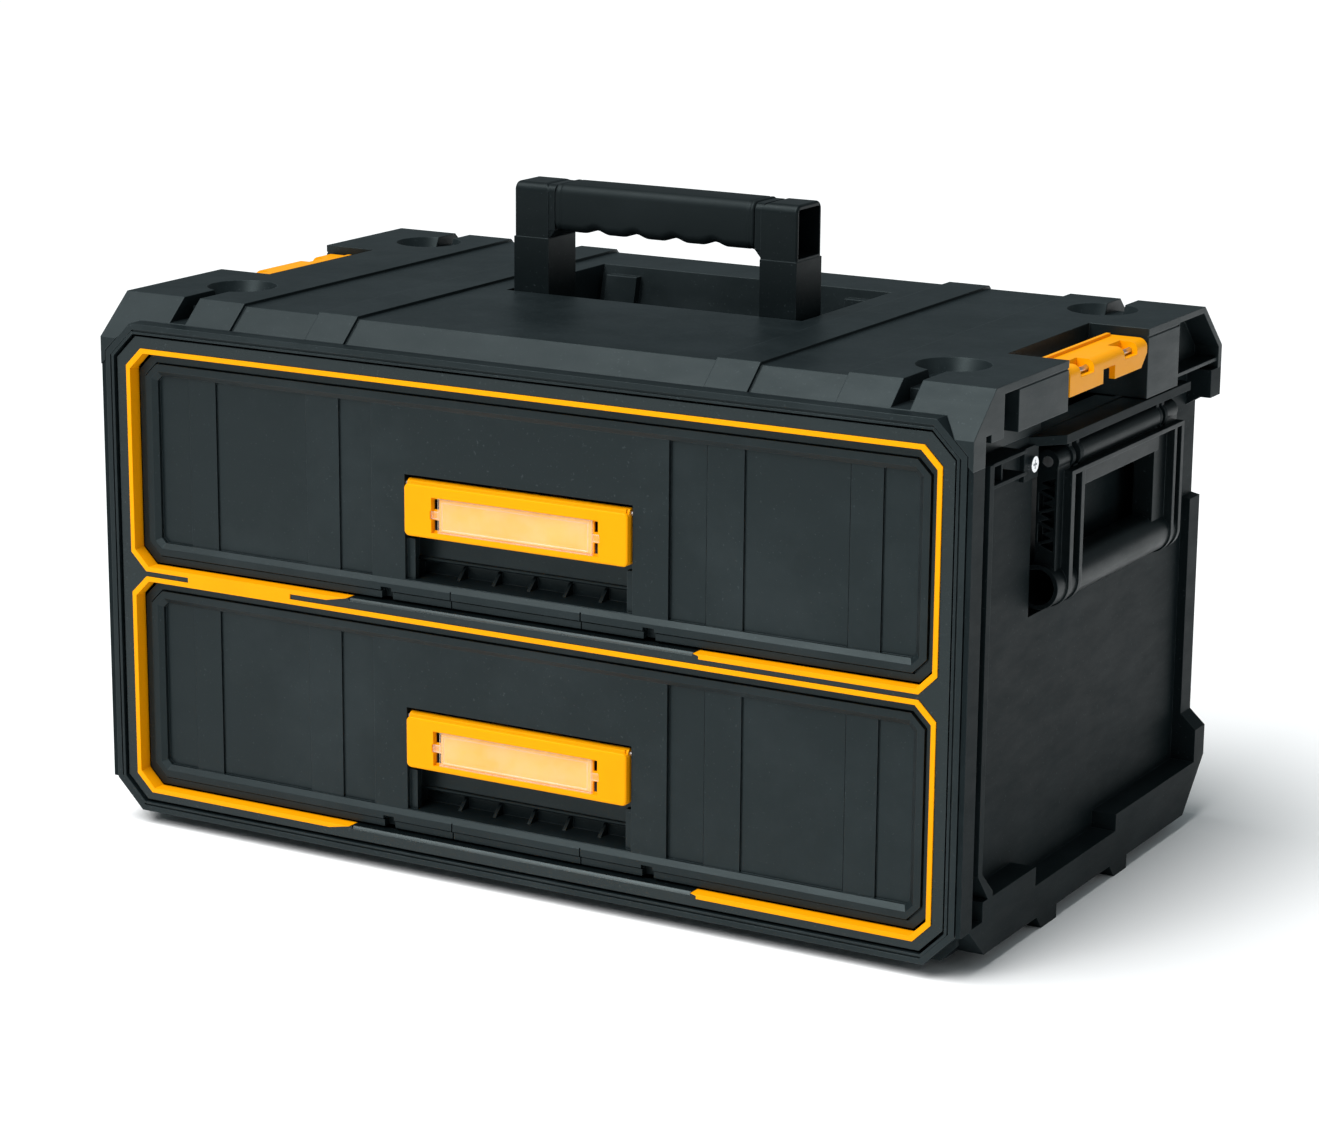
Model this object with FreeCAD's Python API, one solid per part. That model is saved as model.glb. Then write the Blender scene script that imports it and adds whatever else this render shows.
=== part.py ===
import FreeCAD, Part
import os

# A stackable two-drawer tool box, in millimetres. The shapes are built with x across the box,
# y backward from the front face and z up from the base flange. save() then moves them so that
# the origin is at the middle of the footprint, on the surface that the feet stand on.

# ---------------------------------------------------------------- driving dimensions
HALF = 277.0                # half of the overall width
DEPTH = 340.0               # front face to rear flange
DECK = 305.5                # top of the raised bands on the deck
BAND = 1.8                  # rise of the bands above the deck field
FOOT = 8.0                  # feet below the base flange
WALL = 3.0                  # moulded wall
PANEL = 262.0               # outside of the side wall
SPLIT = 266.0               # where the deck moulding sits on the housing

# side profile of the whole box: chamfers at all four edges
TOP_FRONT = (26.0, 282.5)   # deck edge y, start of the slope z
TOP_REAR = (311.0, 279.0)
LOW_REAR = (310.0, 30.5)
LOW_FRONT = (31.0, 28.5)

# front frame
COLLAR = 273.6              # half width of the collar
COLLAR_TOP = 292.0
COLLAR_Y = 11.0             # its back, where the housing's front plate starts
COLLAR_CORNER = 17.6        # corner cut of the collar
PLATE_Y = 14.5              # back of the housing's front plate
PLATE_CORNER = 16.0         # its corner cut, above which the deck comes forward
BEZEL = 266.4               # half width of the bezel inside the collar
TRIM = 259.7                # half width of the coloured trim
LIP = 2.8                   # its width seen from the front
OPENING_HEIGHT = 131.6      # trim height of one drawer opening
OPENINGS = {"upper": 146.3, "lower": 11.6}
SCOOP = (-122.0, 119.2)      # ends of the black scoop under each drawer
TRIM_FIELD = (-219.0, -147.0)  # the stretch where the two drawers' trims join

# drawers
FRONT_HALF = 255.4
FRONT_Y = 8.2               # face of a drawer front's outer border
FRONT_BACK = 32.0
FRONT_HEIGHT = 122.8
FRONT_ABOVE = 4.3           # front's bottom edge above the trim's outer bottom edge
TRAY_HALF = 232.0
TRAY_BACK = 322.0
TRAY_UP = 6.0                # tray floor above the front's bottom edge
TRAY_HEIGHT = 104.0
RAIL_Y = (36.0, 322.0)
TRAY_WALL = 2.4
SLIDE_HALF = 17.5           # half height of a ball slide
SLIDE_UP = 57.0             # slide centre above the front's bottom edge
SLIDE_OUT = 246.0           # outside face of the outer rail

# paddle in a drawer front, heights above the front's bottom edge
RECESS_HALF = 73.5
RECESS = (12.4, 72.7)
PADDLE_HALF = 72.0
PADDLE = (38.6, 70.4)
PADDLE_Y = 6.0
PIVOT_Y = 12.0
PIVOT_UP = 67.4
LABEL_HALF = 53.7
LABEL = (42.1, 62.2)
COVER_HALF = 49.6           # half width of the clear cover
RECESS_BACK = 24.0          # back wall of the finger recess
TROUGH = (29.6, 21.0)       # back and top of the deeper trough along its floor
ARM_X = (17.0, 22.0)        # arms behind the paddle that draw the bolt down
ARM_BACK = 28.0
BOLT_Y = (26.0, 30.0)
SPRING_HALF = 6

# top handle
GRAB_HALF = 93.0
GRAB_LEG = 23.0             # leg width across the box
GRAB_Y = (156.0, 186.0)
GRAB_TOP = 368.0
GRAB_BAR = 27.0             # height of the bar
GRAB_AXIS = (171.0, 288.0)
BOOT_TOP = 336.0            # top of the boot round the foot of each leg
BOOT_STEP = 0.25            # how far the boot stands out
POCKET_HALF = 98.0
POCKET_Y = (154.5, 268.0)
POCKET_FLOOR = 271.0

# side handles, given for the right side
CARRY_AXIS = (265.0, 248.5)         # x, z
CARRY_X = (259.0, 271.0)
CARRY_Y = (121.0, 288.5)
CARRY_OPEN = (150.0, 257.0)         # the hand opening between the two arms
CARRY_RIMS = ((129.0, 133.5), (142.5, 146.5), (274.5, 278.0), (285.0, 288.5))
CARRY_RIM_X = 276.0                 # how far the rims stand out
CARRY_BEAM = (231.0, 243.0)
CARRY_GRIP = (262.6, 179.8, 12.4)   # x, z, radius
CARRY_LUGS = ((137.5, 141.0), (147.5, 151.0), (260.5, 264.0), (268.0, 271.5))
LUG_RADIUS = 7.5
RECESS_X = 249.0                    # floor of the recess behind the side handle
RECESS_Y = (108.0, 291.5)
RECESS_Z = (165.0, 260.0)
LEDGE = (260.0, 265.0)

# stack latches in the deck's side notches
NOTCH_X = 241.0
NOTCH_Y = (117.0, 227.0)
LATCH_AXIS = (265.0, 291.5)
LATCH_Y = (119.0, 225.0)

# dimples in the deck that take the feet of a box above
DIMPLE_X = 230.0
DIMPLES_Y = (74.0, 272.0)
DIMPLE = (20.5, 16.5, 8.0)   # radius at the top and at the bottom, depth
DIMPLE_SLOT = 5.5            # half width of the slot from a dimple over the deck's edge
FOOT_RADIUS = 14.0

FIT = 0.05                  # running clearance of a pin in its hole


# ---------------------------------------------------------------- helpers
def box(x0, x1, y0, y1, z0, z1):
    return Part.makeBox(x1 - x0, y1 - y0, z1 - z0, FreeCAD.Vector(x0, y0, z0))


def solid_between(points, offset):
    face = Part.Face(Part.makePolygon([FreeCAD.Vector(*p) for p in points + points[:1]]))
    return face.extrude(FreeCAD.Vector(*offset))


def prism_x(outline, x0, x1):
    return solid_between([(x0, y, z) for y, z in outline], (x1 - x0, 0, 0))


def prism_y(outline, y0, y1):
    return solid_between([(x, y0, z) for x, z in outline], (0, y1 - y0, 0))


def prism_z(outline, z0, z1):
    return solid_between([(x, y, z0) for x, y in outline], (0, 0, z1 - z0))


def rod_x(y, z, radius, x0, x1):
    return Part.makeCylinder(radius, x1 - x0, FreeCAD.Vector(x0, y, z), FreeCAD.Vector(1, 0, 0))


def rod_y(x, z, radius, y0, y1):
    return Part.makeCylinder(radius, y1 - y0, FreeCAD.Vector(x, y0, z), FreeCAD.Vector(0, 1, 0))


def rod_z(x, y, radius, z0, z1):
    return Part.makeCylinder(radius, z1 - z0, FreeCAD.Vector(x, y, z0), FreeCAD.Vector(0, 0, 1))


def fuse(shapes):
    return shapes[0].multiFuse(shapes[1:]).removeSplitter()


def mirrored(shape):
    return shape.mirror(FreeCAD.Vector(0, 0, 0), FreeCAD.Vector(1, 0, 0))


def both_sides(shapes):
    return list(shapes) + [mirrored(shape) for shape in shapes]


def rounded(shape, radius, test):
    """Fillets the edges whose middle point passes the test."""
    edges = [edge for edge in shape.Edges if test(edge.CenterOfMass)]
    return shape.makeFillet(radius, edges)


def save(name, *shapes):
    shape = shapes[0] if len(shapes) == 1 else Part.makeCompound(list(shapes))
    moved = shape.copy()
    moved.translate(FreeCAD.Vector(0, -DEPTH / 2, FOOT))
    moved.exportStep("parts/" + name + ".step")


def octagon(half, z0, z1, cut):
    """A rectangle in x and z with its four corners cut off."""
    right = [(half, z0 + cut), (half, z1 - cut), (half - cut, z1)]
    left = [(-half + cut, z1), (-half, z1 - cut), (-half, z0 + cut), (-half + cut, z0)]
    return right + left + [(half - cut, z0)]


def side_profile(inset):
    """The box's outline in y and z, moved inward."""
    low = inset
    return [
        (inset, LOW_FRONT[1] + inset / 2),
        (LOW_FRONT[0] + inset / 2, low),
        (LOW_REAR[0] - inset / 2, low),
        (DEPTH - inset, LOW_REAR[1] + inset / 2),
        (DEPTH - inset, TOP_REAR[1] - inset / 2),
        (TOP_REAR[0] - inset / 2, DECK - inset),
        (TOP_FRONT[0] + inset / 2, DECK - inset),
        (inset, TOP_FRONT[1] - inset / 2),
    ]


# ---------------------------------------------------------------- housing
def recess_walls():
    """The side wall's step inward behind a side handle, seen from inside the housing."""
    return box(RECESS_X - WALL, PANEL, RECESS_Y[0] - WALL, RECESS_Y[1] + WALL,
               RECESS_Z[0] - WALL, LEDGE[1])


def rear_flange():
    """The rear frame: it stands out furthest at the top ears and at the base."""
    steps = [(254, 7), (HALF, 7), (HALF, 48.7), (267.3, 57.5), (267.3, 188.5), (257.2, 190.5),
             (257.2, 241.5), (270.5, 249.7), (HALF, 249.7), (HALF, SPLIT), (254, SPLIT)]
    return prism_y(steps, DEPTH - 15, DEPTH).common(prism_x(side_profile(0), 0, HALF))


def side_rib():
    """The second rib behind the front frame, which bends back at the base."""
    band = prism_x(side_profile(0), PANEL, HALF).common(box(PANEL, HALF, 21, 26, 46, SPLIT))
    foot = prism_x([(21, 46), (26, 46), (40, 33), (40, 28), (36, 28)], PANEL, HALF)
    return band.fuse(foot)


def ladder():
    """Two shelves and a web between the side rib and the handle's boss."""
    shelves = [box(PANEL, HALF - 1, 26, 68, z, z + 1.8) for z in (252.5, 264.2)]
    return shelves + [box(PANEL, HALF - 3, 41, 42.6, 252.5, 266)]


def side_relief():
    """What stands out from the right side wall, as one group of solids."""
    base = prism_x(side_profile(0), PANEL - 1, HALF).common(box(PANEL - 1, HALF, 14, 340, 0, 19))
    front_block = box(PANEL - 1, HALF, 28, 96, 0, 30)
    rear_block = box(PANEL - 1, HALF, 207, DEPTH - 15, 0, 29)
    blocks = [b.common(prism_x(side_profile(0), 0, HALF)) for b in (front_block, rear_block)]
    ledge = prism_z([(PANEL, 101), (HALF, 118), (HALF, 293), (PANEL, 293)], *LEDGE)
    ledge = ledge.fuse(box(RECESS_X, PANEL, RECESS_Y[0], RECESS_Y[1], *LEDGE))
    lugs = [hinge_lug(y0, y1) for y0, y1 in CARRY_LUGS]
    boss = box(PANEL - 1, PANEL + 3, 90, RECESS_Y[0], 243, 261)
    return [base, ledge, rear_flange(), side_rib(), boss] + blocks + lugs + ladder()


def hinge_lug(y0, y1):
    """A lug under the ledge, rounded about the side handle's rod."""
    x, z = CARRY_AXIS
    eye = rod_y(x, z, LUG_RADIUS, y0, y1)
    stem = box(x - LUG_RADIUS, x + 4.8, y0, y1, z, LEDGE[0] + 1)
    return fuse([eye, stem, box(RECESS_X - 1, x, y0, y1, z - 5, LEDGE[0] + 1)])


def foot_tabs():
    """Hooked tabs on the base flange and the round feet that drop into a deck's dimples."""
    front = prism_x([(99, 0), (106, -FOOT), (126, -FOOT), (126, 2), (99, 2)], HALF - 9, HALF)
    rear = prism_x([(200, 0), (207, -FOOT), (225, -FOOT), (225, 2), (200, 2)], HALF - 9, HALF)
    feet = [rod_z(DIMPLE_X, y, FOOT_RADIUS, -FOOT, 1) for y in DIMPLES_Y]
    return [front, rear] + feet


def slide_pads():
    """Pads that carry the lower slide, where the side wall isn't stepped inward."""
    centre = OPENINGS["lower"] + FRONT_ABOVE + SLIDE_UP
    return [box(SLIDE_OUT, PANEL - 1, y, y + 12, centre - 14, centre + 14) for y in (40, 160, 290)]


def housing():
    core = prism_x(side_profile(0), -PANEL, PANEL).fuse(box(-PANEL, PANEL, 14, 40, 0, 40))
    core = core.common(box(-HALF, HALF, 14, DEPTH, 0, SPLIT))
    room = box(-PANEL + WALL, PANEL - WALL, 0, DEPTH - 9, 6, SPLIT + 1)
    room = room.cut(fuse(both_sides([recess_walls()])))
    open_front = box(-HALF, HALF, -1, 40, 6, SPLIT + 1)
    room = room.common(prism_x(side_profile(WALL + 1), -HALF, HALF).fuse(open_front))
    shell = core.cut(room)
    plate = prism_y(octagon(HALF, 0, TOP_FRONT[1], PLATE_CORNER), COLLAR_Y, PLATE_Y)
    plate = plate.common(prism_x(side_profile(0), -HALF, HALF).fuse(box(-270, 270, 0, 15, 0, 283)))
    plate = plate.cut(box(-PANEL + WALL, PANEL - WALL, 0, 20, 8, TOP_FRONT[1] - 3))
    rim = box(COLLAR + 0.6, HALF, 0.8, COLLAR_Y, 18, TOP_FRONT[1])
    rims = [rim.common(prism_y(octagon(HALF, 0, TOP_FRONT[1], PLATE_CORNER), 0, COLLAR_Y))]
    recess = box(RECESS_X, HALF, RECESS_Y[0], RECESS_Y[1], *RECESS_Z)
    shell = shell.cut(fuse(both_sides([recess])))
    shell = fuse([shell, plate] + both_sides(rims + side_relief() + foot_tabs() + slide_pads()))
    back = box(-PANEL + 12, PANEL - 12, DEPTH - 5, DEPTH + 1, 40, 254)
    bars = [box(x - 2, x + 2, DEPTH - 6, DEPTH, 38, 256) for x in (-174, -87, 0, 87, 174)]
    shell = shell.cut(back.cut(fuse(bars)))
    x, z = CARRY_AXIS
    rod_hole = rod_y(x, z, 3, CARRY_LUGS[0][0] - 1, CARRY_LUGS[3][1] + 1)
    holes = both_sides([rod_hole, screw_hole()])
    for centre in slide_centres():
        holes += both_sides([rod_x(y, centre, 2, 244, 258) for y in (46, 166, 296)])
    return shell.cut(fuse(holes))


def screw_hole():
    return rod_x(99, 251.5, 2.4, 250, 270)


def slide_centres():
    return [OPENINGS[level] + FRONT_ABOVE + SLIDE_UP for level in ("upper", "lower")]


# ---------------------------------------------------------------- deck
def deck_field():
    """The shallow fields between the raised bands, which run down the front slope as well."""
    skin = prism_x(side_profile(0), -HALF, HALF).cut(prism_x(side_profile(BAND), -HALF, HALF))
    middle = box(-115, 115, 0, DEPTH, 284, DECK + 1)
    sides = both_sides([box(141, 193, 0, DEPTH, 284, DECK + 1)])
    return skin.common(fuse([middle] + sides))


def deck_hollow():
    """The room under the deck, clear of the latch notches, the pocket and the dimples."""
    room = prism_x(side_profile(4.5), -PANEL + WALL, PANEL - WALL)
    room = room.common(box(-HALF, HALF, 14, DEPTH - 9, SPLIT - 1, DECK))
    solid = [box(NOTCH_X - WALL, HALF, NOTCH_Y[0] - WALL, NOTCH_Y[1] + WALL, SPLIT - 2, DECK)]
    for y in DIMPLES_Y:
        end = 0 if y < DEPTH / 2 else DEPTH
        solid.append(box(218, 242, min(y, end) - 12, max(y, end) + 12, 286, DECK))
        solid.append(rod_z(DIMPLE_X, y, DIMPLE[0] + 3, 292, DECK))
    tub = box(-POCKET_HALF - 4, POCKET_HALF + 4, POCKET_Y[0] - 4, POCKET_Y[1] + 4,
              POCKET_FLOOR - WALL, DECK)
    return room.cut(fuse(both_sides(solid) + [tub]))


def keyholes():
    """Round dimples, each with a slot that runs out over the nearest edge of the deck."""
    cuts = []
    wide, narrow, depth = DIMPLE
    x0 = DIMPLE_X - DIMPLE_SLOT
    x1 = DIMPLE_X + DIMPLE_SLOT
    for y in DIMPLES_Y:
        end = -1 if y < DEPTH / 2 else DEPTH + 1
        near = 34 if y < DEPTH / 2 else DEPTH - 34
        bowl = Part.makeCone(narrow, wide, depth, FreeCAD.Vector(DIMPLE_X, y, DECK - depth))
        cuts.append(bowl)
        cuts.append(box(x0, x1, min(y, end), max(y, end), 299, DECK + 1))
        cuts.append(box(x0, x1, min(near, end), max(near, end), 292.5, DECK + 1))
    return both_sides(cuts)


def side_gaps():
    """What is open beside the deck: the notch, the slots in the blocks and the rear hollow."""
    notch = box(NOTCH_X, HALF + 1, NOTCH_Y[0], NOTCH_Y[1], SPLIT - 1, DECK + 1)
    under = box(PANEL, HALF + 1, PLATE_Y, NOTCH_Y[0] + 1, SPLIT - 1, 278)
    slot = box(PANEL + 1, HALF + 1, 36, 54, SPLIT - 1, DECK - 4.5)
    rear = box(PANEL, HALF + 1, 272.5, DEPTH - 5, SPLIT - 1, DECK)
    rear = rear.common(prism_x(side_profile(3.5), 0, HALF + 1))
    rear = rear.cut(box(PANEL, HALF - 1, 272, DEPTH, 270.2, 272.2))
    parting = box(HALF - 0.6, HALF + 1, 54, NOTCH_Y[1] + 45, DECK - 5.2, DECK - 4.2)
    return both_sides([notch, under, slot, rear, parting])


def pocket_wedge():
    """A rest between the pocket's sloped back wall and the end of the folded handle's leg."""
    back = POCKET_Y[1]
    outline = [(back - 14.5, POCKET_FLOOR - 1), (back - 5, POCKET_FLOOR - 1)]
    outline += [(back - 2, DECK - 7), (back - 8, DECK - 7)]
    return prism_x(outline, GRAB_HALF - GRAB_LEG + 1, GRAB_HALF - 1)


def top_deck():
    outer = prism_x(side_profile(0), -HALF, HALF).common(box(-HALF, HALF, 0, DEPTH, SPLIT, DECK))
    deck = outer.cut(deck_hollow())
    front_room = prism_y(octagon(COLLAR + 0.6, 0, COLLAR_TOP, COLLAR_CORNER), -1, COLLAR_Y)
    plate_room = prism_y(octagon(HALF, 0, TOP_FRONT[1], PLATE_CORNER), -1, PLATE_Y)
    rib_room = box(-HALF - 1, HALF + 1, PLATE_Y, 20.9, SPLIT - 1, TOP_FRONT[1])
    side_room = rib_room.cut(box(-PANEL, PANEL, 0, DEPTH, SPLIT - 2, DECK))
    pocket = box(-POCKET_HALF, POCKET_HALF, POCKET_Y[0], POCKET_Y[1], POCKET_FLOOR, DECK + 1)
    slope = prism_x([(POCKET_Y[1] - 9, POCKET_FLOOR - 1), (POCKET_Y[1] + 1, POCKET_FLOOR - 1),
                     (POCKET_Y[1] + 1, DECK), (POCKET_Y[1], DECK)], -POCKET_HALF, POCKET_HALF)
    cuts = [front_room, plate_room, side_room, pocket.cut(slope), deck_field()]
    cuts += side_gaps() + keyholes()
    y, z = GRAB_AXIS
    cuts += both_sides([rod_x(y, z, 4, POCKET_HALF - 1, POCKET_HALF + 5)])
    x, z = LATCH_AXIS
    cuts += both_sides([rod_y(x, z, 2, NOTCH_Y[0] - 6, NOTCH_Y[1] + 6)])
    shell = deck.cut(fuse(cuts))
    return fuse([shell] + both_sides([pocket_wedge()]))


# ---------------------------------------------------------------- front frame
def front_collar():
    outer = prism_y(octagon(COLLAR, 0, COLLAR_TOP, COLLAR_CORNER), 0, COLLAR_Y)
    ridge = prism_y(octagon(COLLAR - 3.2, 3.2, COLLAR_TOP - 3.2, 16.4), -0.1, 1.2)
    inner = prism_y(octagon(BEZEL + 1.5, 5.4, 286.2, 14), -1, COLLAR_Y + 1)
    step = ridge.cut(prism_y(octagon(BEZEL + 3, 4.4, 287.4, 14.4), -1, COLLAR_Y))
    return outer.cut(inner).cut(step)


def opening(level, inset, y0, y1):
    """The octagonal room of one drawer opening, measured in from the trim's outer edge."""
    low = OPENINGS[level]
    outline = octagon(TRIM - inset, low + inset, low + OPENING_HEIGHT - inset, 10.5 - inset / 3)
    return prism_y(outline, y0, y1)


def scoop_bar(level, y0, y1):
    """The stretch below a drawer where the trim gives way to the black scoop, tapered at one end."""
    low = OPENINGS[level]
    left, right = SCOOP
    outline = [(left, low), (right, low), (right, low + LIP - 1)]
    outline += [(right - 3.5, low + LIP), (left + 14, low + LIP)]
    return prism_y(outline, y0, y1)


def front_bezel():
    plate = prism_y(octagon(BEZEL, 6.9, 284.7, 13.4), 1.5, COLLAR_Y)
    holes = [opening(level, 0, 0, COLLAR_Y + 1) for level in OPENINGS]
    bars = [scoop_bar(level, 1.5, COLLAR_Y) for level in OPENINGS]
    bezel = plate.cut(fuse(holes)).fuse(bars)
    scoops = [rod_x(-3.5, low + 9.4, 9.6, SCOOP[0] + 15, SCOOP[1] - 4) for low in OPENINGS.values()]
    return bezel.cut(fuse(scoops + [trim_field()])).removeSplitter()


def trim_field():
    """The solid stretch of trim between the two drawers, to the left of the scoop."""
    return box(*TRIM_FIELD, 0.8, 9.4, OPENINGS["lower"] + OPENING_HEIGHT - 1, OPENINGS["upper"] + 1)


def front_trim():
    rings = []
    for level in OPENINGS:
        ring = opening(level, 0, 0.8, 9.4).cut(opening(level, LIP, 0, 10))
        rings.append(ring.cut(scoop_bar(level, 0, 10)))
    return fuse(rings + [trim_field()])


def mid_rail():
    """The hollow beam between the two drawers, closed in front by the bezel."""
    top = OPENINGS["lower"] + OPENING_HEIGHT
    beam = box(-PANEL + WALL, PANEL - WALL, COLLAR_Y, 44, top - 1.4, OPENINGS["upper"] + 1.4)
    beam = beam.cut(box(-HALF, HALF, COLLAR_Y + 2, 45, top + 0.8, OPENINGS["upper"] - 0.8))
    cross = [box(x - 1, x + 1, COLLAR_Y, 44, top - 1.4, OPENINGS["upper"] + 1.4)
             for x in range(-200, 201, 80)]
    return fuse([beam] + cross).cut(strike_slot(top))


def strike_slot(z):
    """Room for a latch bolt's tip in a plate near height z."""
    return box(-12, 12, BOLT_Y[0] - 1, BOLT_Y[1] + 1, z - 4, z + 4)


def strikes():
    """Steel plates over the drawers for the bolts: a bracket behind the frame, and one on the mid rail."""
    z = OPENINGS["upper"] + OPENING_HEIGHT - 1.2
    shelf = box(-24, 24, 14.5, 38, z, z + 1.2).cut(strike_slot(z))
    bracket = shelf.fuse(box(-24, 24, 14.5, 15.7, z, z + 7))
    under = OPENINGS["lower"] + OPENING_HEIGHT - 1.4
    return [bracket, box(-24, 24, 20, 40, under - 1.2, under).cut(strike_slot(under))]


# ---------------------------------------------------------------- slides
def outer_rail(centre):
    web = box(SLIDE_OUT - 1.2, SLIDE_OUT, *RAIL_Y, centre - SLIDE_HALF, centre + SLIDE_HALF)
    lips = []
    for side in (-1, 1):
        edge = centre + side * SLIDE_HALF
        lips.append(box(SLIDE_OUT - 9.5, SLIDE_OUT, *RAIL_Y, min(edge, edge - side * 1.2),
                        max(edge, edge - side * 1.2)))
    rail = fuse([web] + lips)
    return rail.cut(fuse([rod_x(y, centre, 2, 240, 250) for y in (46, 166, 296)]))


def inner_rail(centre):
    web = box(TRAY_HALF, TRAY_HALF + 1.2, RAIL_Y[0], RAIL_Y[1] - 2, centre - 12.5, centre + 12.5)
    lips = []
    for side in (-1, 1):
        edge = centre + side * 12.5
        lips.append(box(TRAY_HALF, TRAY_HALF + 9, RAIL_Y[0], RAIL_Y[1] - 2, min(edge, edge - side * 1.2),
                        max(edge, edge - side * 1.2)))
    rail = fuse([web] + lips)
    return rail.cut(fuse([rod_x(y, centre, 2, 230, 235) for y in (60, 180, 300)]))


def ball_cage(centre):
    """Two strips with their balls, which roll between the rails' lips."""
    strips = []
    for side in (-1, 1):
        z = centre + side * 14.4
        strip = box(TRAY_HALF + 4, TRAY_HALF + 9, 138, 218, z - 0.6, z + 0.6)
        balls = [Part.makeSphere(1.7, FreeCAD.Vector(TRAY_HALF + 6.5, y, z)) for y in range(142, 215, 12)]
        strips.append(fuse([strip] + balls))
    return strips


# ---------------------------------------------------------------- drawers
def panel_bands(low):
    """Upright bands of three depths across a drawer front's panel, with a fine line at each edge."""
    deep, shallow, centre = 11.4, 10.3, 9.2
    top = low + FRONT_HEIGHT
    cuts = []
    for x0, x1, depth in ((0, 96, centre), (96, 118, deep), (118, 141, shallow), (141, 203, deep),
                          (203, 222.5, shallow), (222.5, 243.5, deep)):
        cuts.append(box(x0, x1, 0, depth, low + 12, top - 12))
    for x in (96, 118, 141, 203, 222.5):
        cuts.append(box(x - 0.4, x + 0.4, 0, deep + 0.5, low + 12, top - 12))
    return fuse(both_sides(cuts)).common(prism_y(octagon(243.5, low + 12, top - 12, 3), 0, 20))


def drawer_front(level):
    low = OPENINGS[level] + FRONT_ABOVE
    top = low + FRONT_HEIGHT
    body = prism_y(octagon(FRONT_HALF, low, top, 9), FRONT_Y, FRONT_BACK)
    rim = prism_y(octagon(250.6, low + 4.8, top - 4.8, 8), 6.8, FRONT_Y + 4)
    line = prism_y(octagon(251.4, low + 4, top - 4, 8.2), 0, FRONT_Y + 2.4)
    front = fuse([body.cut(line), rim])
    bevel = Part.makeLoft([wire_at(octagon(246.6, low + 8.8, top - 8.8, 4.5), 6.7),
                           wire_at(octagon(243.5, low + 12, top - 12, 3), 9.2)], True, True)
    front = front.cut(bevel).cut(panel_bands(low))
    hollow = box(-250, 250, FRONT_Y + 6.8, FRONT_BACK + 1, low + 5, top - 5)
    tub = box(-RECESS_HALF - WALL, RECESS_HALF + WALL, 0, RECESS_BACK + 1.4, low + RECESS[0] - WALL,
              low + RECESS[1] + WALL)
    wall = RECESS_HALF + WALL
    trough = box(-wall, wall, 0, FRONT_BACK, low + RECESS[0] - WALL, low + TROUGH[1] + 2.4)
    front = front.cut(hollow.cut(fuse([tub, trough])))
    finger = prism_x([(-1, low + RECESS[0]), (TROUGH[0], low + RECESS[0]), (TROUGH[0], low + TROUGH[1] - 1),
                      (RECESS_BACK, low + TROUGH[1]), (RECESS_BACK, low + RECESS[1]), (-1, low + RECESS[1])],
                     -RECESS_HALF, RECESS_HALF)
    front = front.cut(finger)
    return dress_front(front, low)


def dress_front(front, low):
    """Adds the ribs and posts of the finger recess and cuts the seams, notches and holes."""
    back = RECESS_BACK
    floor = low + RECESS[0] - 1
    roof = low + TROUGH[1]
    gusset = [(back - 4, floor), (TROUGH[0] + 1, floor), (TROUGH[0] + 1, roof - 1), (back + 3, roof - 3)]
    ribs = [prism_x(gusset, x - 1, x + 1) for x in (-46, -23, 0, 23, 46)]
    bead = rod_x(back - 0.2, low + TROUGH[1] + 1.2, 1.2, -RECESS_HALF - 1, RECESS_HALF + 1)
    posts = both_sides([box(68.5, RECESS_HALF + 1, 12, 16, low + RECESS[0] - 1, low + PADDLE[0] - 3)])
    top = low + FRONT_HEIGHT
    guides = both_sides([box(10.5, 12.5, FRONT_Y + 6, FRONT_BACK - 0.5, low + 78, top - 4)])
    front = fuse([front, bead] + ribs + posts + guides)
    seams = both_sides([box(41.7, 42.5, 0, 9.6, low - 1, low + RECESS[0] - 3)])
    notches = both_sides([box(81.3, 88.7, 0, 13, low - 1, low + 6.8)])
    windows = both_sides([box(ARM_X[0] - 1.5, ARM_X[1] + 1.5, back - 1, back + 2, low + 57, low + 71.5)])
    bolt_room = box(-10.3, 10.3, BOLT_Y[0] - 0.3, BOLT_Y[1] + 0.3, top - 6, top + 1)
    pin = rod_x(PIVOT_Y, low + PIVOT_UP, 1.5, -RECESS_HALF - 2.5, RECESS_HALF + 2.5)
    screws = [rod_y(x, low + z, 1.6, FRONT_BACK - 4, FRONT_BACK + 1) for x, z in front_screw_places()]
    return front.cut(fuse(seams + notches + windows + [bolt_room, pin] + screws))


def front_screw_places():
    return [(x, z) for x in (-238, -100, 100, 238) for z in (2.6, FRONT_HEIGHT - 2.6)]


def wire_at(outline, y):
    points = [FreeCAD.Vector(x, y, z) for x, z in outline]
    return Part.makePolygon(points + points[:1])


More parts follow.
